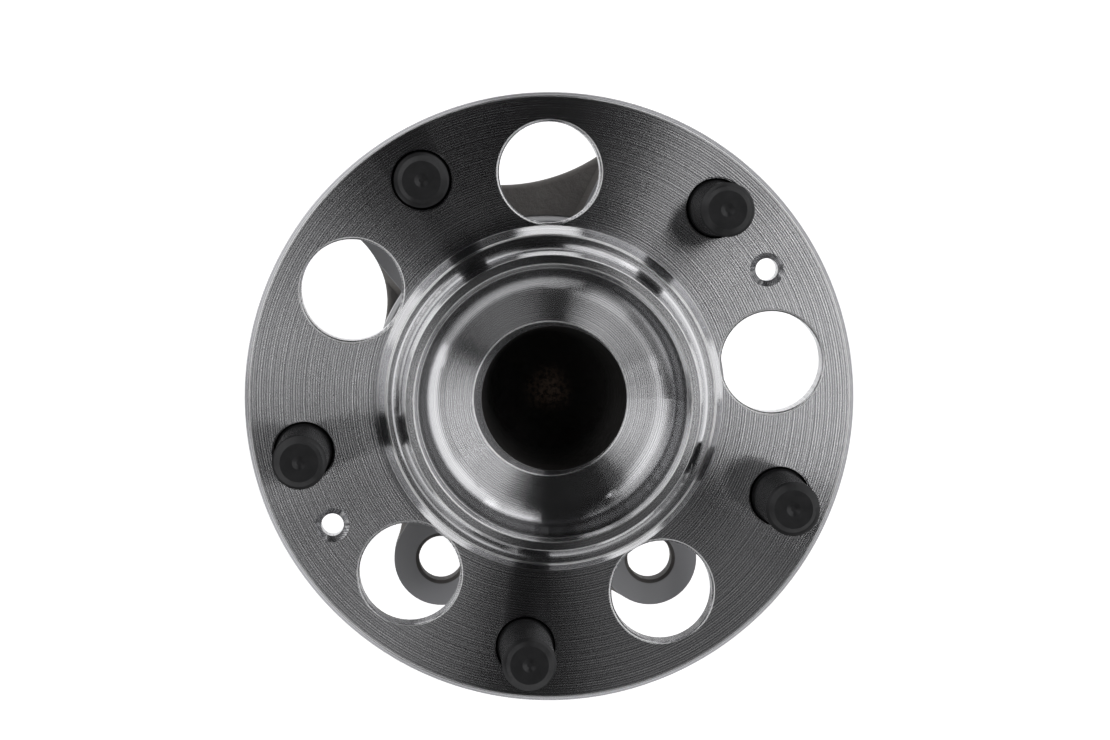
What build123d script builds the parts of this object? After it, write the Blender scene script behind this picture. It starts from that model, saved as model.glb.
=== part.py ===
"""Wheel hub bearing of the flanged, blind kind, with its studs, two ball rows, seals and end cap.

Millimetres. The axis is Z and the wheel side is +Z. Height 0 is the machined face that the
brake disc and the wheel are clamped against, so the origin is the centre of the stud circle.
Axial distances named "reach" run from the plane midway between the two ball rows.
"""

from build123d import *
from math import acos, atan2, cos, degrees, radians, sin, tan
import os

# Wheel flange of the hub
stud_count = 5
stud_circle = 114.3
first_stud_angle = 48.5
flange_rim_width = 12.0
flange_thickness = 10.0
flange_chamfer = 1.0
flange_root_gap = 4.4
flange_root_depth = 2.0
seal_fillet = 2.0

# Large through holes that fill the wheel flange between its pilot and its rim
window_pilot_gap = 0.5
window_rim_wall = 6.65
window_angles = (9.0, 90.0, 151.5, 231.5, 300.0)
window_chamfer = 0.4

# Tapped holes for the screws that hold the brake disc
screw_core_diameter = 5.1
screw_countersink = 1.3
screw_angles = (30.4, 210.4)

# Wheel studs
stud_diameter = 12.0
stud_projection = 37.0
stud_tip_chamfer = 1.75
stud_knurl_height = 0.35
stud_head_lip = 2.4
stud_head_thickness = 3.5
stud_head_fillet = 0.9
stud_relief_gap = 1.2
stud_relief_depth = 1.5

# Stepped nose of the hub: wheel pilot, shoulder and disc pilot
wheel_pilot_diameter = 67.0
wheel_pilot_end = 21.5
pilot_root_fillet = 1.8
shoulder_insets = (0.7, 1.8, 2.1)
shoulder_heights = (6.0, 10.5, 10.8)
disc_pilot_step = 5.5
disc_pilot_length = 4.0
nose_height = 25.3
nose_lead_in = 0.7
nose_rim_width = 2.0

# Bowl inside the nose, and the forged recess below it
bowl_mouth_chamfer = 0.9
bowl_wall_lean = 2.1
bowl_corner_height = 7.0
bowl_corner_fillet = 4.0
floor_edge_height = 5.0
recess_edge_width = 1.05
recess_edge_chamfer = 2.0
recess_diameter = 32.7
recess_offset = 0.8
recess_depth = 47.0
recess_draft = 3.5
recess_bottom_fillet = 8.0

# Fixed outer ring, from the knuckle's bore inwards
spigot_diameter = 79.0
spigot_chamfer = 1.2
spigot_wall = 2.7
knuckle_ledge = 1.2
outer_ring_chamfer = 0.8
cap_seat_step = 0.5
cap_well_depth = 7.0
seal_seat_step = 1.6
seal_seat_relief = 0.1
outer_land_depth = 3.06

# Ball rows
ball_diameter = 11.112
ball_count = 13
row_spacing = 21.0
groove_clearance = 0.08
open_shoulder_depth = 0.36
inner_shoulder_depth = 3.36

# Ball cages
cage_gap = 0.6
cage_ring_wall = 1.15
cage_open_depth = 2.35
pocket_clearance = 0.15

# Seals
seal_sheet = 0.8
cage_seal_gap = 0.8
seal_end_gap = 0.3
seal_body_depth = 5.2
slinger_inset = 0.1
slinger_edge_gap = 0.7
flange_seal_gap = 2.5
lip_rubber = 0.8
lip_clearance = 0.3
case_sleeve_gap = 1.5
magnet_thickness = 0.8
magnet_setback = 1.7

# Inner ring, spindle and formed spindle end
inner_ring_wall = 4.8
formed_head_lip = 5.8
formed_head_thickness = 4.0
formed_head_fillet = 2.6
spindle_dish_wall = 7.0
spindle_dish_depth = 11.0
spindle_dish_lean = 2.5
spindle_dish_edge = 1.25
spindle_dish_fillet = 5.0

# Mounting flange of the outer ring
knuckle_offset = 47.0
web_thickness = 8.5
pad_rise = 2.5
pad_draft = 30.0
upper_ear_angles = (63.4, 129.8)
upper_ear_offset = 16.3
lower_ear_angles = (238.3, 301.7)
lower_ear_offset = 5.95
ear_hole_diameter = 10.4
ear_countersink = 0.9
ear_wall = 5.8
ear_neck_radius = 20.0
upper_waist_radius = 42.0
lower_waist_radius = 36.0
forging_fillet = 1.2

# End cap
cap_sheet = 1.2
cap_magnet_gap = 1.0
cap_dome_side_gap = 1.1
cap_dome_gap = 0.8
cap_rim_setback = 0.7
cap_corner_fillet = 1.4
cap_bead_height = 0.6
cap_bead_width = 1.4

# Radii worked out from the ones above
stud_circle_radius = stud_circle / 2
stud_radius = stud_diameter / 2
stud_shoulder_radius = stud_radius + stud_knurl_height
stud_head_radius = stud_shoulder_radius + stud_head_lip
flange_radius = stud_circle_radius + flange_rim_width
flange_root_radius = stud_circle_radius - stud_head_radius - flange_root_gap
wheel_pilot_radius = wheel_pilot_diameter / 2
disc_pilot_radius = wheel_pilot_radius + disc_pilot_step
window_inside = disc_pilot_radius + window_pilot_gap
window_radius = (flange_radius - window_rim_wall - window_inside) / 2
window_circle_radius = window_inside + window_radius
nose_top_radius = wheel_pilot_radius - nose_lead_in
bowl_mouth_radius = nose_top_radius - nose_rim_width - bowl_mouth_chamfer
recess_radius = recess_diameter / 2
floor_edge_radius = recess_radius + recess_edge_width
spigot_radius = spigot_diameter / 2
outer_ring_radius = spigot_radius + knuckle_ledge
cap_seat_radius = spigot_radius - spigot_wall
seal_seat_radius = cap_seat_radius - cap_seat_step
outer_open_radius = seal_seat_radius - seal_seat_step
ball_radius = ball_diameter / 2
pitch_radius = outer_open_radius + open_shoulder_depth - ball_radius
outer_land_radius = pitch_radius + ball_radius - outer_land_depth
high_shoulder_radius = pitch_radius - ball_radius + inner_shoulder_depth
low_shoulder_radius = pitch_radius - ball_radius + open_shoulder_depth
spindle_radius = low_shoulder_radius - inner_ring_wall
formed_head_radius = spindle_radius + formed_head_lip
case_inner_radius = high_shoulder_radius + seal_sheet + case_sleeve_gap
slinger_radius = seal_seat_radius - seal_sheet - slinger_edge_gap
ear_radius = ear_hole_diameter / 2 + ear_wall

# Heights and reaches worked out from the ones above
flange_back = -flange_thickness
root_back = flange_back - flange_root_depth
row_reach = row_spacing / 2
cage_end_reach = row_reach + ball_radius + cage_ring_wall
case_inner_reach = cage_end_reach + cage_seal_gap
case_outer_reach = case_inner_reach + seal_body_depth
ring_end_reach = case_outer_reach + seal_end_gap
slinger_face_reach = ring_end_reach - slinger_inset
middle_height = root_back - flange_seal_gap - ring_end_reach
flange_side_end = middle_height + ring_end_reach
inner_ring_end = middle_height - ring_end_reach
spigot_end = inner_ring_end - cap_well_depth
formed_head_end = inner_ring_end - formed_head_thickness
cap_shelf = middle_height - slinger_face_reach - magnet_thickness - cap_magnet_gap
knuckle_face = -knuckle_offset
ear_top = knuckle_face + web_thickness + pad_rise
CUT_MARGIN = 1.0


def turned(corners):
    """Revolve a closed outline about the axis.

    A corner is (radius, height), or (radius, height, fillet) where it is rounded.
    """
    outline = make_face(Polyline(*[corner[:2] for corner in corners], close=True))
    for corner in corners:
        if len(corner) == 3:
            vertex = outline.vertices().sort_by_distance(corner[:2])[0]
            outline = fillet(vertex, corner[2])
    return revolve(Plane.XZ * outline, Axis.Z)


def turned_from_middle(side, corners):
    """Revolve corners whose second value is the reach from the middle plane.

    side is 1 towards the wheel and -1 away from it.
    """
    placed = [(corner[0], middle_height + side * corner[1], *corner[2:]) for corner in corners]
    return turned(placed)


def on_circle(radius, angle):
    """The place at an angle, in degrees, on a circle about the axis."""
    return Vector(radius * cos(radians(angle)), radius * sin(radians(angle)), 0)


def stud_angles():
    return [first_stud_angle + turn * 360 / stud_count for turn in range(stud_count)]


def drilled(place, radius, top, bottom, edge):
    """A cutter for a through hole at a place, with a countersink of one edge width at both faces."""
    below = bottom - flange_root_depth - CUT_MARGIN
    cutter = turned([
        (0, top + CUT_MARGIN),
        (radius + edge + CUT_MARGIN, top + CUT_MARGIN),
        (radius, top - edge),
        (radius, bottom + edge),
        (radius + edge, bottom),
        (radius + edge, below),
        (0, below),
    ])
    return Pos(place.X, place.Y, 0) * cutter


def raceway(side):
    """The ring of space that one ball row sweeps, a running clearance larger than the balls."""
    row_height = middle_height + side * row_reach
    return Pos(0, 0, row_height) * Torus(pitch_radius, ball_radius + groove_clearance)


def hub_blank():
    """The turned shape of the hub, from the wheel pilot to the formed spindle end."""
    dish_radius = spindle_radius - spindle_dish_wall
    dish_floor = formed_head_end + spindle_dish_depth
    return turned([
        (0, floor_edge_height),
        (floor_edge_radius, floor_edge_height),
        (bowl_mouth_radius - bowl_wall_lean, bowl_corner_height, bowl_corner_fillet),
        (bowl_mouth_radius, nose_height - bowl_mouth_chamfer),
        (bowl_mouth_radius + bowl_mouth_chamfer, nose_height),
        (nose_top_radius, nose_height),
        (wheel_pilot_radius, wheel_pilot_end),
        (wheel_pilot_radius, shoulder_heights[2], pilot_root_fillet),
        (disc_pilot_radius - shoulder_insets[2], shoulder_heights[2]),
        (disc_pilot_radius - shoulder_insets[1], shoulder_heights[1]),
        (disc_pilot_radius - shoulder_insets[0], shoulder_heights[0]),
        (disc_pilot_radius, disc_pilot_length),
        (disc_pilot_radius, 0),
        (flange_radius - flange_chamfer, 0),
        (flange_radius, -flange_chamfer),
        (flange_radius, flange_back + flange_chamfer),
        (flange_radius - flange_chamfer, flange_back),
        (flange_root_radius, flange_back),
        (outer_ring_radius, root_back),
        (high_shoulder_radius, root_back, seal_fillet),
        (high_shoulder_radius, middle_height + row_reach),
        (low_shoulder_radius, middle_height + row_reach),
        (low_shoulder_radius, middle_height),
        (spindle_radius, middle_height),
        (spindle_radius, inner_ring_end),
        (formed_head_radius, inner_ring_end),
        (formed_head_radius, formed_head_end, formed_head_fillet),
        (dish_radius + spindle_dish_lean, formed_head_end, spindle_dish_edge),
        (dish_radius, dish_floor, spindle_dish_fillet),
        (0, dish_floor),
    ])


def forged_recess():
    """The drafted blind recess of the forging, a little off the machined centre."""
    recess_top = bowl_corner_height
    recess_floor = floor_edge_height - recess_depth
    floor_radius = recess_radius - recess_depth * tan(radians(recess_draft))
    recess = turned([
        (0, recess_top),
        (recess_radius, recess_top),
        (recess_radius, floor_edge_height),
        (floor_radius, recess_floor, recess_bottom_fillet),
        (0, recess_floor),
    ])
    edge_cone = turned([
        (0, floor_edge_height),
        (floor_edge_radius, floor_edge_height),
        (floor_edge_radius - recess_edge_chamfer, floor_edge_height - recess_edge_chamfer),
        (0, floor_edge_height - recess_edge_chamfer),
    ])
    return Pos(recess_offset, 0, 0) * recess + edge_cone


def wheel_hub():
    """The rotating hub: nose, wheel flange, outboard raceway and spindle in one forging."""
    hub = hub_blank() - forged_recess() - raceway(1)
    for angle in window_angles:
        place = on_circle(window_circle_radius, angle)
        hub -= drilled(place, window_radius, 0, flange_back, window_chamfer)
    for angle in screw_angles:
        place = on_circle(stud_circle_radius, angle)
        hub -= drilled(place, screw_core_diameter / 2, 0, flange_back, screw_countersink)
    for angle in stud_angles():
        place = on_circle(stud_circle_radius, angle)
        hole = Cylinder(stud_shoulder_radius, 4 * flange_thickness)
        relief = Cylinder(stud_radius + stud_relief_gap, 2 * stud_relief_depth)
        hub -= Pos(place.X, place.Y, 0) * (hole + relief)
    return hub


def wheel_stud(angle):
    """A pressed-in stud: head behind the flange, tight shoulder inside it, threaded shank in front."""
    place = on_circle(stud_circle_radius, angle)
    head_back = flange_back - stud_head_thickness
    stud = turned([
        (0, head_back),
        (stud_head_radius, head_back, stud_head_fillet),
        (stud_head_radius, flange_back),
        (stud_shoulder_radius, flange_back),
        (stud_shoulder_radius, -stud_relief_depth),
        (stud_radius, -stud_relief_depth),
        (stud_radius, stud_projection - stud_tip_chamfer),
        (stud_radius - stud_tip_chamfer, stud_projection),
        (0, stud_projection),
    ])
    return Pos(place.X, place.Y, 0) * stud


def inboard_inner_ring():
    """The separate inner ring that the formed spindle end clamps against the hub's shoulder."""
    ring = turned([
        (spindle_radius, middle_height),
        (low_shoulder_radius, middle_height),
        (low_shoulder_radius, middle_height - row_reach),
        (high_shoulder_radius, middle_height - row_reach),
        (high_shoulder_radius, inner_ring_end),
        (spindle_radius, inner_ring_end),
    ])
    return ring - raceway(-1)


def ball_row(side):
    """One row of balls, as many separate solids."""
    row_height = middle_height + side * row_reach
    spheres = []
    for number in range(ball_count):
        place = on_circle(pitch_radius, number * 360 / ball_count)
        spheres.append(Pos(place.X, place.Y, row_height) * Sphere(ball_radius))
    return Compound(children=[solid for sphere in spheres for solid in sphere.solids()])


def ball_cage(side):
    """A moulded crown cage: a ring beyond the balls, with fingers that close round each ball."""
    inside = high_shoulder_radius + cage_gap
    outside = outer_land_radius - cage_gap
    finger_end = row_reach - ball_radius + cage_open_depth
    cage = turned_from_middle(side, [
        (inside, finger_end),
        (outside, finger_end),
        (outside, cage_end_reach),
        (inside, cage_end_reach),
    ])
    row_height = middle_height + side * row_reach
    for number in range(ball_count):
        place = on_circle(pitch_radius, number * 360 / ball_count)
        cage -= Pos(place.X, place.Y, row_height) * Sphere(ball_radius + pocket_clearance)
    return cage


def tangent_circle(first, first_radius, second, second_radius, radius, turn):
    """The centre of a circle that touches two others from outside.

    turn is 1 to have it on the left of the way from first to second, and -1 on the right.
    """
    across = second - first
    near = first_radius + radius
    far = second_radius + radius
    share = (near**2 + across.length**2 - far**2) / (2 * near * across.length)
    return first + across.normalized().rotate(Axis.Z, turn * degrees(acos(share))) * near


def neck(ear, turn):
    """The centre of the concave arc between an ear and the round body of the outer ring."""
    middle = Vector(0, 0, 0)
    return tangent_circle(middle, outer_ring_radius, ear, ear_radius, ear_neck_radius, turn)


def four_sided(*corners):
    return make_face(Polyline(*corners, close=True))


def upper_ears():
    """The hole centres of the two upper ears, anticlockwise."""
    return [on_circle(outer_ring_radius + upper_ear_offset, angle) for angle in upper_ear_angles]


def lower_ears():
    """The hole centres of the two lower ears, anticlockwise."""
    return [on_circle(outer_ring_radius + lower_ear_offset, angle) for angle in lower_ear_angles]


def ear_outline():
    """The outline of the mounting flange: four round ears joined by tangent concave arcs."""
    middle = Vector(0, 0, 0)
    outline = Circle(outer_ring_radius)
    pairs = ((*upper_ears(), upper_waist_radius), (*lower_ears(), lower_waist_radius))
    hollows = []
    for first, last, waist_radius in pairs:
        waist = tangent_circle(first, ear_radius, last, ear_radius, waist_radius, -1)
        first_neck, last_neck = neck(first, -1), neck(last, 1)
        outline += four_sided(middle, first_neck, first, waist)
        outline += four_sided(middle, waist, last, last_neck)
        hollows += [(waist, waist_radius), (first_neck, ear_neck_radius), (last_neck, ear_neck_radius)]
    for centre, radius in hollows:
        outline -= Pos(centre.X, centre.Y) * Circle(radius)
    for ear in upper_ears() + lower_ears():
        outline += Pos(ear.X, ear.Y) * Circle(ear_radius)
    return outline


def ear_pad(ear):
    """The raised pad of one ear, with drafted flanks that run straight in to the body."""
    length = ear.length
    slot = Pos(length / 2, 0) * Rectangle(length, 2 * ear_radius)
    slot += Pos(length, 0) * Circle(ear_radius)
    turn = degrees(atan2(ear.Y, ear.X))
    pad = extrude(Plane.XY * slot, -pad_rise, taper=-pad_draft)
    return Pos(0, 0, ear_top) * Rot(0, 0, turn) * pad


def mounting_flange():
    """The forged flange that is screwed to the knuckle."""
    outline = ear_outline()
    web = extrude(outline, web_thickness)
    web = fillet(web.edges().group_by(Axis.Z)[-1], forging_fillet)
    flange = Pos(0, 0, knuckle_face) * web
    full = Pos(0, 0, knuckle_face) * extrude(outline, web_thickness + pad_rise)
    for ear in upper_ears() + lower_ears():
        flange += ear_pad(ear) & full
    return flange


def outer_ring():
    """The fixed outer ring with both raceways, seal seats, mounting flange and knuckle spigot."""
    seat_reach = case_inner_reach - seal_seat_relief
    ring_end = outer_ring_radius - outer_ring_chamfer
    barrel = turned([
        (spigot_radius - spigot_chamfer, spigot_end),
        (spigot_radius, spigot_end + spigot_chamfer),
        (spigot_radius, knuckle_face),
        (outer_ring_radius, knuckle_face),
        (outer_ring_radius, flange_side_end - outer_ring_chamfer),
        (ring_end, flange_side_end),
        (seal_seat_radius, flange_side_end),
        (seal_seat_radius, middle_height + seat_reach),
        (outer_open_radius, middle_height + seat_reach),
        (outer_open_radius, middle_height + row_reach),
        (outer_land_radius, middle_height + row_reach),
        (outer_land_radius, middle_height - row_reach),
        (outer_open_radius, middle_height - row_reach),
        (outer_open_radius, middle_height - seat_reach),
        (seal_seat_radius, middle_height - seat_reach),
        (seal_seat_radius, inner_ring_end),
        (cap_seat_radius, inner_ring_end),
        (cap_seat_radius, spigot_end),
    ])
    core = Pos(0, 0, knuckle_face) * Cylinder((outer_ring_radius + spigot_radius) / 2, 4 * web_thickness)
    ring = barrel + (mounting_flange() - core)
    ring -= raceway(1) + raceway(-1)
    for ear in upper_ears() + lower_ears():
        ring -= drilled(ear, ear_hole_diameter / 2, ear_top, knuckle_face, ear_countersink)
    return ring


def seal_case(side):
    """The pressed steel case of a seal: a sleeve in the outer ring and a flange towards the axis."""
    return turned_from_middle(side, [
        (seal_seat_radius, case_inner_reach),
        (seal_seat_radius, case_outer_reach),
        (seal_seat_radius - seal_sheet, case_outer_reach),
        (seal_seat_radius - seal_sheet, case_inner_reach + seal_sheet),
        (case_inner_radius, case_inner_reach + seal_sheet),
        (case_inner_radius, case_inner_reach),
    ])


def seal_lip(side):
    """The rubber of a seal: a bonded layer with one lip to the sleeve and one to the slinger."""
    root = case_inner_reach + seal_sheet
    face = root + lip_rubber
    sleeve = high_shoulder_radius + seal_sheet + lip_clearance
    slinger = slinger_face_reach - seal_sheet - lip_clearance
    outside = seal_seat_radius - seal_sheet
    side_lip = (case_inner_radius + outside) / 2
    lean = slinger - face
    return turned_from_middle(side, [
        (outside, root),
        (outside, face),
        (side_lip + lip_rubber, face),
        (side_lip + lip_rubber + lean / 2, slinger),
        (side_lip + lip_rubber / 2 + lean / 2, slinger),
        (side_lip, face),
        (case_inner_radius + lip_rubber, face),
        (sleeve + lip_rubber / 2, face + lean / 2),
        (sleeve, face + lean / 2),
        (sleeve + lip_rubber / 2, root),
    ])


def slinger(side):
    """A pressed ring on the turning side: a sleeve on the shoulder and a flange over the lips."""
    return turned_from_middle(side, [
        (high_shoulder_radius, case_inner_reach),
        (high_shoulder_radius, slinger_face_reach),
        (slinger_radius, slinger_face_reach),
        (slinger_radius, slinger_face_reach - seal_sheet),
        (high_shoulder_radius + seal_sheet, slinger_face_reach - seal_sheet),
        (high_shoulder_radius + seal_sheet, case_inner_reach),
    ])


def encoder_magnet():
    """The magnetised ring on the inboard slinger that a wheel speed sensor reads."""
    magnet_inner_radius = high_shoulder_radius + magnet_setback
    return turned_from_middle(-1, [
        (magnet_inner_radius, slinger_face_reach),
        (slinger_radius, slinger_face_reach),
        (slinger_radius, slinger_face_reach + magnet_thickness),
        (magnet_inner_radius, slinger_face_reach + magnet_thickness),
    ])


def end_cap():
    """The pressed cap that closes the knuckle side, domed over the formed spindle end."""
    dome = formed_head_end - cap_dome_gap
    dome_radius = formed_head_radius + cap_dome_side_gap
    rim = spigot_end + cap_rim_setback
    return turned([
        (0, dome),
        (dome_radius, dome),
        (dome_radius, cap_shelf),
        (cap_seat_radius, cap_shelf, cap_corner_fillet),
        (cap_seat_radius, rim),
        (cap_seat_radius - cap_sheet, rim),
        (cap_seat_radius - cap_sheet, cap_shelf - cap_sheet),
        (dome_radius + cap_sheet, cap_shelf - cap_sheet),
        (dome_radius + cap_sheet, dome - cap_sheet, cap_corner_fillet),
        (0, dome - cap_sheet),
    ])


def end_cap_seal():
    """The rubber bead bonded to the cap's shoulder, which seals the cap in its seat."""
    bead_outside = cap_seat_radius - cap_corner_fillet
    return turned([
        (bead_outside - cap_bead_width, cap_shelf),
        (bead_outside, cap_shelf),
        (cap_seat_radius, cap_shelf + cap_bead_height),
        (bead_outside - cap_bead_width, cap_shelf + cap_bead_height),
    ])


def all_parts():
    """Every piece of the bearing by its name."""
    parts = {
        "wheel_hub": wheel_hub(),
        "inboard_inner_ring": inboard_inner_ring(),
        "outer_ring": outer_ring(),
        "outboard_slinger": slinger(1),
        "encoder_carrier": slinger(-1),
        "encoder_magnet": encoder_magnet(),
        "end_cap": end_cap(),
        "end_cap_seal": end_cap_seal(),
    }
    for name, side in (("outboard", 1), ("inboard", -1)):
        parts[f"{name}_balls"] = ball_row(side)
        parts[f"{name}_cage"] = ball_cage(side)
        parts[f"{name}_seal_case"] = seal_case(side)
        parts[f"{name}_seal_lip"] = seal_lip(side)
    for number, angle in enumerate(stud_angles(), start=1):
        parts[f"wheel_stud_{number}"] = wheel_stud(angle)
    return parts


os.makedirs("parts", exist_ok=True)
for name, part in all_parts().items():
    export_step(part, f"parts/{name}.step")
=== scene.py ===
import math

import bmesh
import bpy
from mathutils import Matrix, Vector


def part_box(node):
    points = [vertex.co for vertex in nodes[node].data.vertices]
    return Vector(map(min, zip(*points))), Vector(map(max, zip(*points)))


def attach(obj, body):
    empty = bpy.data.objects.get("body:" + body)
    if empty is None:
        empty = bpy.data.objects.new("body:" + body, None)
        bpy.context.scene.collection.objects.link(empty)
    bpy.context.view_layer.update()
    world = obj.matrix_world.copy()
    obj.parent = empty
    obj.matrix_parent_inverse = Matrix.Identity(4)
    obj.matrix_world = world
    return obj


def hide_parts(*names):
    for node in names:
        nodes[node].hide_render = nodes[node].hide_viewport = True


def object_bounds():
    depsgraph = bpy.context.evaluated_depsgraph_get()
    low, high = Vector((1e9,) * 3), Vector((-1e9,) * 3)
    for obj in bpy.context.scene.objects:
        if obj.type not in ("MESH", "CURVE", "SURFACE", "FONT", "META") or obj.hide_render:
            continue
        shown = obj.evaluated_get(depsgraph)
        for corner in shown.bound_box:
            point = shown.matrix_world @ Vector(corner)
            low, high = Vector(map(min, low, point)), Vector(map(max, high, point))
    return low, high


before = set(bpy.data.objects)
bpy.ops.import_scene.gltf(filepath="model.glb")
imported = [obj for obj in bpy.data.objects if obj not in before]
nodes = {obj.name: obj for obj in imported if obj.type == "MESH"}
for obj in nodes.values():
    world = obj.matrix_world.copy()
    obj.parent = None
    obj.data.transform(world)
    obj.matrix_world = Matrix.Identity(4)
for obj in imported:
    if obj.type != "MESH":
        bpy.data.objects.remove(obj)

cad_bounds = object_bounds()
MM = 0.001

# Sizes are in millimetres and angles in degrees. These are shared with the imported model.
FLOOR_HEIGHT = cad_bounds[0].z / MM
STUD_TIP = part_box("wheel_stud_1")[1].z / MM
STUD_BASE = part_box("wheel_stud_1")[0].z / MM
STUD_COUNT = 5
STUD_CIRCLE_RADIUS = 57.15
FIRST_STUD_ANGLE = 48.5
SHANK_RADIUS = 6.0
SHANK_START = -1.5
TIP_CHAMFER = 1.75
SHOULDER_RADIUS = 6.35
FLANGE_BACK = -10.0
HEAD_RADIUS = 8.75
WINDOW_ANGLES = (9.0, 90.0, 151.5, 231.5, 300.0)
WINDOW_PLACE = 51.0
RECESS_RADIUS = 16.35
RECESS_OFFSET = 0.8
RECESS_DRAFT = math.tan(math.radians(3.5))
RECESS_MOUTH = 5.0
OUTER_RING_RADIUS = 40.7
KNUCKLE_FACE = -47.0
PAD_FACE = -36.0

# What the studs gain: a centre mark, a rounded head and a thread
SHANK_SIDES = 48
TIP_MARK_INSET = 2.7
TIP_MARK_DEPTH = 0.55
TIP_MARK_NARROWING = 0.35
HEAD_ROUNDING = 0.9
THREAD_PITCH = 1.5
THREAD_DEPTH = 0.9
THREAD_START = -0.4
THREAD_FLANK_ANGLE = 30.0
THREAD_STEPS = 36
CUTTER_REACH = 0.05
SAME_PLACE = 0.002
SMOOTH_ANGLE = 28.0
# How many times its own place's angle each stud is turned, so that no two threads start alike
STUD_TURN = 7

# Marks on the turned steel of the hub, and the painted shadow ring round each stud
TOOL_FEED = 0.55
SEAT_SHADOW_RADIUS = 6.88
SEAT_SHADOW_FADE = 0.05
SCALE_REACH = 0.12
SCALE_FADE = 0.08
EDGE_ROUNDING = 0.28
WINDOW_EDGE = 11.9
# The tangent of half the angle that a chamfer's edge turns through
CHAMFER_TURN = 0.41
# Turned edges: radius, height, the same tangent for each, and the share of a step in height
# that counts, less where a steep wall ends at the edge
HUB_EDGES = (
    (69.15, -1.0, CHAMFER_TURN, 1.0),
    (68.15, 0.0, CHAMFER_TURN, 1.0),
    (39.0, 4.0, 0.45, 0.3),
    (37.2, 10.5, 0.28, 0.3),
    (36.9, 10.8, CHAMFER_TURN, 1.0),
    (32.8, 25.3, 0.83, 1.0),
    (30.8, 25.3, CHAMFER_TURN, 1.0),
    (29.9, 24.4, 0.34, 1.0),
    (17.4, 5.0, CHAMFER_TURN, 1.0),
    (15.4, 3.0, 0.38, 1.0),
)
# Soft slopes: where each starts and ends, and how far it rises. The bowl's corner is placed by
# radius plus height, and ends at the bowl's mouth.
PILOT_ROOT = (36.0, 34.3)
PILOT_ROOT_RISE = 0.33
BOWL_FLOOR = (23.4, 25.9)
BOWL_FLOOR_RISE = 0.12
BOWL_CORNER = (32.6, 54.3)
BOWL_CORNER_FALL = 7.5
BOWL_MOUTH_RADIUS = 30.9
# Farther than any place on the part
FAR = 1000.0

# Camera, seen from the wheel side and a little from the upper left
CAMERA_PLACE = Vector((-28.5, 51.9, 1011.0)) * MM
CAMERA_TARGET = Vector((1.18, 6.2, 0.0)) * MM
CAMERA_LENS = 144.9
CAMERA_SENSOR = 36.0

# The floor's side and the distance of all lamps, in metres. An oval lamp is this much longer
# each way than a rectangle of the same area, by which the lamps are given.
FLOOR_SIDE = 12.0
LAMP_DISTANCE = 1.0
OVAL = math.sqrt(4 / math.pi)


# ---------------------------------------------------------------- shader graph

# Places of the colour sockets on a Mix node, whose names repeat for each kind of value
MIX_FIRST_COLOR = 6
MIX_SECOND_COLOR = 7
MIX_COLOR_RESULT = 2


class Socket:
    """One value of a finish. Each operator on it adds a Math node."""

    def __init__(self, graph, link):
        self.graph = graph
        self.link = link

    def math(self, operation, *others):
        return self.graph.math(operation, self, *others)

    def __add__(self, other):
        return self.math("ADD", other)

    def __radd__(self, other):
        return self.graph.math("ADD", other, self)

    def __sub__(self, other):
        return self.math("SUBTRACT", other)

    def __rsub__(self, other):
        return self.graph.math("SUBTRACT", other, self)

    def __mul__(self, other):
        return self.math("MULTIPLY", other)

    def __rmul__(self, other):
        return self.graph.math("MULTIPLY", other, self)

    def __truediv__(self, other):
        return self.math("DIVIDE", other)

    def __rtruediv__(self, other):
        return self.graph.math("DIVIDE", other, self)


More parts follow.
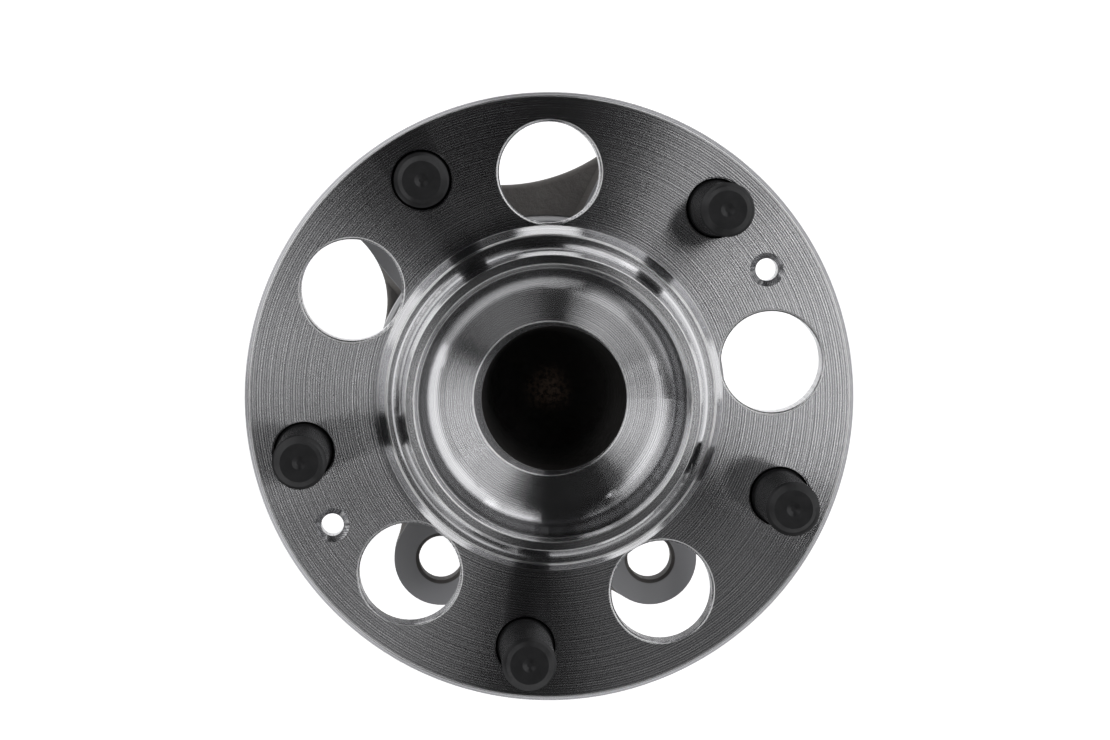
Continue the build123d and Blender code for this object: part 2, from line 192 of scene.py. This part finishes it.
class Finish:
    """A material and the few kinds of node that its function needs."""

    def __init__(self, name):
        self.material = bpy.data.materials.new(name)
        self.material.use_nodes = True
        self.tree = self.material.node_tree
        self.tree.nodes.clear()

    def add(self, kind, settings=None, values=None):
        """A node of a kind, its settings first and then the values or links of its sockets."""
        node = self.tree.nodes.new(kind)
        for name, value in (settings or {}).items():
            setattr(node, name, value)
        for name, value in (values or {}).items():
            socket = node.inputs[name]
            if isinstance(value, Socket):
                self.tree.links.new(value.link, socket)
            else:
                socket.default_value = value
        return node

    def out(self, node, name=0):
        return Socket(self, node.outputs[name])

    def math(self, operation, *values):
        node = self.add("ShaderNodeMath", {"operation": operation}, dict(enumerate(values)))
        return self.out(node)

    def place(self):
        """The three object coordinates, in millimetres."""
        coordinates = self.out(self.add("ShaderNodeTexCoord"), "Object")
        larger = self.add(
            "ShaderNodeVectorMath", {"operation": "SCALE"}, {0: coordinates, "Scale": 1 / MM}
        )
        self.vector = self.out(larger)
        split = self.add("ShaderNodeSeparateXYZ", None, {0: self.vector})
        return [self.out(split, axis) for axis in "XYZ"]

    def distance(self, across, along):
        return (across * across + along * along).math("SQRT")

    def step(self, value, start, end):
        """0 at start and 1 at end, smooth between them."""
        node = self.add(
            "ShaderNodeMapRange",
            {"interpolation_type": "SMOOTHSTEP"},
            {"Value": value, "From Min": start, "From Max": end},
        )
        return self.out(node)

    def noise(self, scale, detail, roughness=0.5):
        """Cloudy variation between 0 and 1. scale is in repeats a millimetre."""
        node = self.add(
            "ShaderNodeTexNoise",
            {"noise_dimensions": "3D"},
            {"Vector": self.vector, "Scale": scale, "Detail": detail, "Roughness": roughness},
        )
        return self.out(node)

    def rings(self, along, scale):
        """Noise that changes along one length alone, as a turning tool leaves it."""
        node = self.add(
            "ShaderNodeTexNoise",
            {"noise_dimensions": "1D"},
            {"W": along, "Scale": scale, "Detail": 3.0},
        )
        return self.out(node)

    def mix(self, share, first, second):
        """The first colour where share is 0 and the second where it is 1."""
        node = self.add("ShaderNodeMix", {"data_type": "RGBA"}, {"Factor": share})
        for index, value in ((MIX_FIRST_COLOR, first), (MIX_SECOND_COLOR, second)):
            if isinstance(value, Socket):
                self.tree.links.new(value.link, node.inputs[index])
            else:
                node.inputs[index].default_value = (*value, 1.0)
        return self.out(node, MIX_COLOR_RESULT)

    def blend(self, share, first, second):
        """The first number where share is 0 and the second where it is 1."""
        return first + (second - first) * share

    def bump(self, height, distance):
        """A relief whose height is counted in the given millimetres."""
        values = {"Height": height, "Distance": distance * MM, "Strength": 1.0}
        return self.out(self.add("ShaderNodeBump", None, values))

    def finish(self, values):
        """The material, with its one shader set from the given sockets."""
        shader = self.add("ShaderNodeBsdfPrincipled", None, values)
        self.add("ShaderNodeOutputMaterial", None, {"Surface": self.out(shader)})
        return self.material


# ---------------------------------------------------------------- finishes

def rounded_edges(finish, x, y, z, radius):
    """Nearness to the hub's edges and those of its large holes, and a small fall on both sides
    of each, so that it catches the light as a round one."""
    places = [
        (finish.distance(radius - edge_radius, (z - edge_height) * share), turn)
        for edge_radius, edge_height, turn, share in HUB_EDGES
    ]
    for angle in WINDOW_ANGLES:
        across = x - WINDOW_PLACE * math.cos(math.radians(angle))
        along = y - WINDOW_PLACE * math.sin(math.radians(angle))
        from_edge = finish.distance(across, along) - WINDOW_EDGE
        places.append((finish.distance(from_edge, z), CHAMFER_TURN))
    nearness = fall = 0.0
    for away, turn in places:
        near = (1.0 - away / EDGE_ROUNDING).math("MAXIMUM", 0.0)
        near = near * near
        nearness = near + nearness
        fall = near * (-0.5 * EDGE_ROUNDING * turn) + fall
    return nearness.math("MINIMUM", 1.0), fall


def softened_corners(finish, radius, z):
    """Slow slopes that make the pilot's root and the bowl's corner wider than their fillets."""
    outside_bowl = (radius - BOWL_MOUTH_RADIUS) * FAR
    along_bowl = (radius + z).math("MAXIMUM", outside_bowl)
    corner = finish.step(along_bowl, *BOWL_CORNER) * -BOWL_CORNER_FALL
    floor = finish.step(radius, *BOWL_FLOOR) * BOWL_FLOOR_RISE
    return finish.step(radius, *PILOT_ROOT) * PILOT_ROOT_RISE + floor + corner


def painted_seat_shadows(finish, x, y):
    """1 on the painted shadow ring round each stud, where the mouth of its hole lies in shade,
    and 0 elsewhere.
    """
    nearest = FAR
    for number in range(STUD_COUNT):
        angle = math.radians(FIRST_STUD_ANGLE + number * 360 / STUD_COUNT)
        across = x - STUD_CIRCLE_RADIUS * math.cos(angle)
        along = y - STUD_CIRCLE_RADIUS * math.sin(angle)
        nearest = finish.distance(across, along).math("MINIMUM", nearest)
    return finish.step(nearest, SEAT_SHADOW_RADIUS + SEAT_SHADOW_FADE, SEAT_SHADOW_RADIUS - SEAT_SHADOW_FADE)


def recess_scale(finish, from_recess):
    """Black forging scale with a rusty, flecked middle: its colour and its patches."""
    patches = finish.noise(0.25, 5.0)
    black = finish.mix(patches, (0.003, 0.003, 0.003), (0.016, 0.012, 0.010))
    flecks = finish.noise(0.9, 6.0, roughness=0.7)
    rust = finish.step(from_recess + patches * 4.0, 9.0, 3.0) * finish.step(flecks, 0.38, 0.6)
    return finish.mix(rust, black, (0.22, 0.15, 0.11)), patches


def turned_hub_steel():
    """Fine turned steel all over, with the black forging scale left inside the recess. Its
    colour holds painted shade in the grooves, painted highlights on the edges and painted
    shadow rings round the studs.
    """
    finish = Finish("turned_hub_steel")
    x, y, z = finish.place()
    radius = finish.distance(x, y)
    feed = ((radius + z) * (math.tau / TOOL_FEED)).math("SINE")
    coarse = finish.rings(radius, 2.2)
    contrast = finish.blend(finish.step(radius, 37.5, 40.0), 0.35, 1.0)
    # Painted shade and light: the tool feed's fine wave darkens and lightens the colour as the
    # grooves' flanks would be shaded and lit; the coarse rings are the steel's own tone,
    # varying from ring to ring
    share = ((coarse * 1.3 + feed * 0.35 - 0.65) * contrast + 0.5).math("MAXIMUM", 0.0)
    steel = finish.mix(share, (0.28, 0.28, 0.30), (0.84, 0.84, 0.85))
    edges, fall = rounded_edges(finish, x, y, z, radius)
    # Painted highlight: near the edges the colour is lightened towards white, so that they show
    # as thin bright lines; they are also made rougher
    steel = finish.mix(edges, steel, (0.95, 0.95, 0.95))
    rough = finish.blend(edges, 0.17 + finish.noise(0.03, 3.0) * 0.05, 0.45)
    seat_shadow = painted_seat_shadows(finish, x, y)
    # Painted shadow: the hub's colour is near black on the ring round each stud
    steel = finish.mix(seat_shadow, steel, (0.006, 0.006, 0.006))
    rough = finish.blend(seat_shadow, rough, 0.6)
    cut = coarse * 0.004 + feed * 0.002 + fall + softened_corners(finish, radius, z)
    from_recess = finish.distance(x - RECESS_OFFSET, y)
    scale, patches = recess_scale(finish, from_recess)
    wall = RECESS_RADIUS - (RECESS_MOUTH - z) * RECESS_DRAFT
    in_recess = finish.step(wall + SCALE_REACH - from_recess, 0.0, SCALE_FADE)
    return finish.finish({
        "Base Color": finish.mix(in_recess, steel, scale),
        "Metallic": 1.0 - in_recess * 0.6,
        "Roughness": finish.blend(in_recess, rough, 0.62 + patches * 0.2),
        "Anisotropic": 1.0,
        "Anisotropic Rotation": 0.25,
        "Normal": finish.bump(finish.blend(in_recess, cut, patches * 0.5), 1.0),
    })


def outer_ring_steel():
    """Turned body and faces, with dark forging scale on the web and ears."""
    finish = Finish("outer_ring_steel")
    x, y, z = finish.place()
    radius = finish.distance(x, y)
    coarse = finish.rings(z, 3.0)
    grain = finish.noise(0.8, 6.0, roughness=0.7)
    blotch = finish.noise(0.09, 4.0)
    outside = finish.step(radius, OUTER_RING_RADIUS + 0.05, OUTER_RING_RADIUS + 0.3)
    above_face = finish.step(z, KNUCKLE_FACE + 0.05, KNUCKLE_FACE + 0.2)
    below_pad = finish.step(z, PAD_FACE - 0.05, PAD_FACE - 0.2)
    forged = outside * above_face * below_pad
    steel = finish.mix(coarse, (0.30, 0.30, 0.31), (0.42, 0.42, 0.43))
    scale = finish.mix(blotch, (0.10, 0.094, 0.09), (0.21, 0.20, 0.19))
    return finish.finish({
        "Base Color": finish.mix(forged, steel, scale),
        "Metallic": 1.0 - forged * 0.5,
        "Roughness": finish.blend(forged, 0.38, 0.5 + grain * 0.25),
        "Normal": finish.bump(finish.blend(forged, coarse * 0.02, grain * 0.35), 1.0),
    })


def phosphate():
    """Black phosphate on the studs, rubbed a little lighter in cloudy patches."""
    finish = Finish("stud_phosphate")
    finish.place()
    grain = finish.noise(3.0, 5.0, roughness=0.7)
    wear = finish.noise(0.35, 3.0)
    return finish.finish({
        "Base Color": finish.mix(wear, (0.012, 0.012, 0.013), (0.034, 0.034, 0.036)),
        "Metallic": 0.6,
        "Roughness": 0.28 + grain * 0.2,
        "Normal": finish.bump(grain, 0.03),
    })


def plain_steel(name, dark, light, roughness, scale):
    """Ground or pressed steel with a soft cloudy variation."""
    finish = Finish(name)
    finish.place()
    cloud = finish.noise(scale, 4.0)
    return finish.finish({
        "Base Color": finish.mix(cloud, dark, light),
        "Metallic": 1.0,
        "Roughness": roughness + cloud * 0.12,
        "Normal": finish.bump(finish.noise(scale * 6, 3.0), 0.02),
    })


def soft_polymer(name, dark, light, roughness):
    """Rubber or moulded polymer with a fine moulded grain."""
    finish = Finish(name)
    finish.place()
    grain = finish.noise(2.5, 4.0, roughness=0.65)
    return finish.finish({
        "Base Color": finish.mix(finish.noise(0.2, 3.0), dark, light),
        "Roughness": roughness + grain * 0.15,
        "Normal": finish.bump(grain, 0.05),
    })


def assign(material, *names):
    """Give the named nodes one material."""
    for name in names:
        slots = nodes[name].data.materials
        slots.clear()
        slots.append(material)


def dress_frame():
    """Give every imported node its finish."""
    assign(turned_hub_steel(), "wheel_hub")
    assign(outer_ring_steel(), "outer_ring")
    bearing = plain_steel("bearing_steel", (0.55, 0.55, 0.56), (0.66, 0.66, 0.67), 0.18, 0.2)
    assign(bearing, "inboard_inner_ring")
    polished = plain_steel("ball_steel", (0.66, 0.66, 0.68), (0.74, 0.74, 0.76), 0.06, 0.3)
    assign(polished, "outboard_balls", "inboard_balls")
    sheet = plain_steel("seal_sheet_steel", (0.45, 0.45, 0.46), (0.56, 0.56, 0.57), 0.25, 0.15)
    assign(sheet, "outboard_seal_case", "inboard_seal_case", "outboard_slinger",
           "encoder_carrier")
    rubber = soft_polymer("seal_rubber", (0.012, 0.012, 0.012), (0.03, 0.03, 0.03), 0.55)
    assign(rubber, "outboard_seal_lip", "inboard_seal_lip", "end_cap_seal")
    magnet = soft_polymer("encoder_rubber", (0.02, 0.017, 0.016), (0.05, 0.04, 0.038), 0.5)
    assign(magnet, "encoder_magnet")
    cage = soft_polymer("cage_polymer", (0.52, 0.45, 0.30), (0.64, 0.57, 0.40), 0.45)
    assign(cage, "outboard_cage", "inboard_cage")
    zinc = plain_steel("cap_zinc", (0.42, 0.42, 0.38), (0.60, 0.60, 0.54), 0.28, 0.12)
    assign(zinc, "end_cap")
    black = phosphate()
    assign(black, *[f"wheel_stud_{number + 1}" for number in range(STUD_COUNT)])
    make_studs(black)


# ---------------------------------------------------------------- modelling by hand

def deselect():
    """Back in object mode with nothing selected."""
    if bpy.context.mode != "OBJECT":
        bpy.ops.object.mode_set(mode="OBJECT")
    bpy.ops.object.select_all(action="DESELECT")


def work_on(piece):
    """Make one piece the only one selected, and open it in edit mode with nothing picked."""
    deselect()
    piece.select_set(True)
    bpy.context.view_layer.objects.active = piece
    bpy.ops.object.mode_set(mode="EDIT")
    bpy.ops.mesh.select_mode(type="FACE")
    bpy.ops.mesh.select_all(action="DESELECT")


def pick_level_face(piece, height):
    """Select the flat faces at a height that look up or down."""
    mesh = bmesh.from_edit_mesh(piece.data)
    for face in mesh.faces:
        level = abs(face.normal.z) > 0.99
        away = abs(face.calc_center_median().z - height * MM)
        face.select_set(level and away < 0.01 * MM)
    bmesh.update_edit_mesh(piece.data)


def push_out(height):
    """Extrude the picked face along the axis, in millimetres."""
    bpy.ops.mesh.extrude_region_move(TRANSFORM_OT_translate={"value": (0, 0, height * MM)})


def widen(share, height):
    """Resize the picked face about the axis."""
    bpy.ops.transform.resize(value=(share, share, 1), center_override=(0, 0, height * MM))


def apply_modifiers(piece):
    """Make a piece's modifiers part of its mesh."""
    deselect()
    piece.select_set(True)
    bpy.context.view_layer.objects.active = piece
    for modifier in list(piece.modifiers):
        bpy.ops.object.modifier_apply(modifier=modifier.name)


def move_into_place(piece, place):
    """Move a piece, in millimetres, and keep its place in its mesh."""
    deselect()
    piece.select_set(True)
    bpy.context.view_layer.objects.active = piece
    bpy.ops.transform.translate(value=Vector(place) * MM)
    bpy.ops.object.transform_apply(location=True, rotation=True, scale=True)


# ---------------------------------------------------------------- wheel studs

def stud_blank():
    """A stud before its thread is cut: chamfered tip with a centre mark, shoulder and head."""
    deselect()
    length = STUD_TIP - SHANK_START
    middle = (STUD_TIP + SHANK_START) / 2
    bpy.ops.mesh.primitive_cylinder_add(
        vertices=SHANK_SIDES, radius=SHANK_RADIUS * MM, depth=length * MM,
        location=(0, 0, middle * MM),
    )
    stud = bpy.context.object
    stud.name = "stud_blank"
    move_into_place(stud, (0, 0, 0))
    work_on(stud)
    pick_level_face(stud, STUD_TIP)
    bpy.ops.mesh.bevel(offset=TIP_CHAMFER * MM, segments=1, affect="EDGES")
    pick_level_face(stud, STUD_TIP)
    bpy.ops.mesh.inset(thickness=TIP_MARK_INSET * MM)
    push_out(-TIP_MARK_DEPTH)
    widen(TIP_MARK_NARROWING, STUD_TIP)
    pick_level_face(stud, SHANK_START)
    push_out(0)
    widen(SHOULDER_RADIUS / SHANK_RADIUS, SHANK_START)
    push_out(FLANGE_BACK - SHANK_START)
    push_out(0)
    widen(HEAD_RADIUS / SHOULDER_RADIUS, FLANGE_BACK)
    push_out(STUD_BASE - FLANGE_BACK)
    pick_level_face(stud, STUD_BASE)
    bpy.ops.mesh.bevel(offset=HEAD_ROUNDING * MM, segments=3, affect="EDGES")
    deselect()
    return stud


def thread_cutter():
    """The helical groove between the crests of the thread, as a closed piece to cut with."""
    deselect()
    outside = SHANK_RADIUS + CUTTER_REACH
    inside = SHANK_RADIUS - THREAD_DEPTH
    slope = math.tan(math.radians(THREAD_FLANK_ANGLE))
    root_width = THREAD_PITCH / 6
    mouth_width = root_width + 2 * slope * (outside - inside)
    bpy.ops.mesh.primitive_plane_add(
        size=MM, rotation=(math.radians(90), 0, 0),
        location=((inside + outside) / 2 * MM, 0, THREAD_START * MM),
    )
    cutter = bpy.context.object
    cutter.name = "thread_cutter"
    cutter.scale = (outside - inside, root_width, 1)
    move_into_place(cutter, (0, 0, 0))
    work_on(cutter)
    bpy.ops.mesh.select_mode(type="VERT")
    mesh = bmesh.from_edit_mesh(cutter.data)
    for vertex in mesh.verts:
        vertex.select_set(vertex.co.x > SHANK_RADIUS * MM)
    mesh.select_flush_mode()
    bmesh.update_edit_mesh(cutter.data)
    bpy.ops.transform.resize(
        value=(1, 1, mouth_width / root_width), center_override=(0, 0, THREAD_START * MM)
    )
    bpy.ops.mesh.select_all(action="SELECT")
    bpy.ops.mesh.delete(type="ONLY_FACE")
    deselect()
    screw = cutter.modifiers.new("helix", "SCREW")
    screw.axis = "Z"
    screw.screw_offset = THREAD_PITCH * MM
    screw.iterations = math.ceil((STUD_TIP - THREAD_START) / THREAD_PITCH) + 1
    screw.steps = screw.render_steps = THREAD_STEPS
    apply_modifiers(cutter)
    work_on(cutter)
    bpy.ops.mesh.select_all(action="SELECT")
    bpy.ops.mesh.fill_holes(sides=4)
    bpy.ops.mesh.select_all(action="SELECT")
    bpy.ops.mesh.normals_make_consistent(inside=False)
    deselect()
    return cutter


def threaded_stud():
    """One stud on the axis, with its thread cut."""
    stud = stud_blank()
    cutter = thread_cutter()
    cut = stud.modifiers.new("thread", "BOOLEAN")
    cut.operation = "DIFFERENCE"
    cut.solver = "EXACT"
    cut.object = cutter
    apply_modifiers(stud)
    bpy.data.objects.remove(cutter)
    work_on(stud)
    bpy.ops.mesh.select_all(action="SELECT")
    bpy.ops.mesh.remove_doubles(threshold=SAME_PLACE * MM)
    deselect()
    stud.select_set(True)
    bpy.context.view_layer.objects.active = stud
    bpy.ops.object.shade_smooth_by_angle(angle=math.radians(SMOOTH_ANGLE))
    return stud


def make_studs(finish):
    """Model one threaded stud and stand a copy of it at each of the five places."""
    first = threaded_stud()
    for number in range(STUD_COUNT):
        stud = first.copy()
        stud.data = first.data.copy()
        bpy.context.scene.collection.objects.link(stud)
        stud.name = stud.data.name = f"threaded_stud_{number + 1}"
        stud.data.materials.append(finish)
        angle = math.radians(FIRST_STUD_ANGLE + number * 360 / STUD_COUNT)
        across = (STUD_CIRCLE_RADIUS * math.cos(angle), STUD_CIRCLE_RADIUS * math.sin(angle))
        stud.rotation_euler.z = angle * STUD_TURN
        move_into_place(stud, (*across, 0))
        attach(stud, "hub")
        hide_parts(f"wheel_stud_{number + 1}")
    bpy.data.objects.remove(first)


# ---------------------------------------------------------------- studio

def make_camera():
    """The camera, square to its target and upright along the object's y axis."""
    data = bpy.data.cameras.new("camera")
    data.lens = CAMERA_LENS
    data.sensor_width = CAMERA_SENSOR
    data.clip_start = 0.05
    data.clip_end = 50.0
    camera = bpy.data.objects.new("camera", data)
    bpy.context.scene.collection.objects.link(camera)
    forward = (CAMERA_TARGET - CAMERA_PLACE).normalized()
    right = forward.cross(Vector((0, 1, 0))).normalized()
    up = right.cross(forward)
    turn = Matrix((right, up, -forward)).transposed().to_4x4()
    camera.matrix_world = Matrix.Translation(CAMERA_PLACE) @ turn
    bpy.context.scene.camera = camera


def softbox(name, azimuth, elevation, width, height, radiance):
    """A flat oval lamp that faces the object. radiance is what the metal sees of it."""
    data = bpy.data.lights.new(name, "AREA")
    data.shape = "ELLIPSE"
    data.size = width * OVAL
    data.size_y = height * OVAL
    data.energy = math.pi * radiance * width * height
    lamp = bpy.data.objects.new(name, data)
    bpy.context.scene.collection.objects.link(lamp)
    across = LAMP_DISTANCE * math.cos(math.radians(elevation))
    lamp.location = (
        across * math.cos(math.radians(azimuth)),
        across * math.sin(math.radians(azimuth)),
        LAMP_DISTANCE * math.sin(math.radians(elevation)),
    )
    lamp.rotation_mode = "QUATERNION"
    lamp.rotation_quaternion = Vector(lamp.location).to_track_quat("Z", "Y")


def make_lamps():
    """Large softboxes high at both sides, and a ring of weaker ones lower down."""
    softbox("right_softbox", 15, 34, 1.45, 0.70, 1.45)
    softbox("upper_right_softbox", 68, 26, 0.42, 0.40, 1.7)
    softbox("upper_right_high_softbox", 50, 56, 0.40, 0.34, 0.7)
    softbox("right_overhead_softbox", -3, 75.5, 0.24, 0.12, 2.6)
    softbox("upper_overhead_softbox", 37, 75.5, 0.15, 0.12, 1.7)
    softbox("left_softbox", 155, 48, 0.74, 0.22, 1.7)
    softbox("left_high_softbox", 172, 63, 0.60, 0.26, 1.55)
    softbox("left_overhead_softbox", 178, 82, 0.12, 0.10, 0.5)
    softbox("lower_left_softbox", 232, 62, 0.50, 0.24, 1.05)
    softbox("lower_left_side_softbox", 243, 48, 0.26, 0.22, 0.9)
    softbox("upper_left_ring_softbox", 140, 13, 1.45, 0.46, 1.1)
    softbox("lower_left_ring_softbox", 215, 14, 0.90, 0.46, 0.9)
    softbox("lower_ring_softbox", 290, 14, 1.10, 0.46, 0.25)
    softbox("lower_softbox", 300, 38, 1.35, 0.26, 0.95)
    softbox("lower_overhead_softbox", 300, 72, 0.20, 0.14, 0.45)


def seen_as_background(tree):
    """1 for the rays that show the background: straight, mirrored or through glass."""
    path = tree.nodes.new("ShaderNodeLightPath")
    total = None
    for ray in ("Is Camera Ray", "Is Glossy Ray", "Is Transmission Ray"):
        if total is None:
            total = path.outputs[ray]
            continue
        both = tree.nodes.new("ShaderNodeMath")
        both.operation = "MAXIMUM"
        tree.links.new(total, both.inputs[0])
        tree.links.new(path.outputs[ray], both.inputs[1])
        total = both.outputs[0]
    return total


def make_world():
    """A dim room that shows as white straight behind the object."""
    world = bpy.data.worlds.new("studio")
    bpy.context.scene.world = world
    world.use_nodes = True
    tree = world.node_tree
    tree.nodes.clear()
    room = tree.nodes.new("ShaderNodeBackground")
    room.inputs["Color"].default_value = (0.01, 0.01, 0.01, 1.0)
    white = tree.nodes.new("ShaderNodeBackground")
    white.inputs["Color"].default_value = (1.0, 1.0, 1.0, 1.0)
    mixed = tree.nodes.new("ShaderNodeMixShader")
    path = tree.nodes.new("ShaderNodeLightPath")
    tree.links.new(path.outputs["Is Camera Ray"], mixed.inputs[0])
    tree.links.new(room.outputs[0], mixed.inputs[1])
    tree.links.new(white.outputs[0], mixed.inputs[2])
    output = tree.nodes.new("ShaderNodeOutputWorld")
    tree.links.new(mixed.outputs[0], output.inputs["Surface"])


def make_floor():
    """A pale floor that shows as white and still takes the object's shadow."""
    bpy.ops.mesh.primitive_plane_add(size=FLOOR_SIDE, location=(0, 0, FLOOR_HEIGHT * MM))
    floor = bpy.context.object
    floor.name = "floor"
    material = bpy.data.materials.new("floor_paper")
    material.use_nodes = True
    tree = material.node_tree
    tree.nodes.clear()
    paper = tree.nodes.new("ShaderNodeBsdfDiffuse")
    paper.inputs["Color"].default_value = (0.8, 0.8, 0.8, 1.0)
    glow = tree.nodes.new("ShaderNodeEmission")
    glow.inputs["Color"].default_value = (0.85, 0.85, 0.85, 1.0)
    tree.links.new(seen_as_background(tree), glow.inputs["Strength"])
    both = tree.nodes.new("ShaderNodeAddShader")
    tree.links.new(paper.outputs[0], both.inputs[0])
    tree.links.new(glow.outputs[0], both.inputs[1])
    output = tree.nodes.new("ShaderNodeOutputMaterial")
    tree.links.new(both.outputs[0], output.inputs["Surface"])
    floor.data.materials.append(material)


def main():
    bpy.ops.object.select_all(action="DESELECT")
    bpy.context.scene.view_settings.view_transform = "Standard"
    make_camera()
    make_world()
    make_floor()
    make_lamps()
    dress_frame()


main()
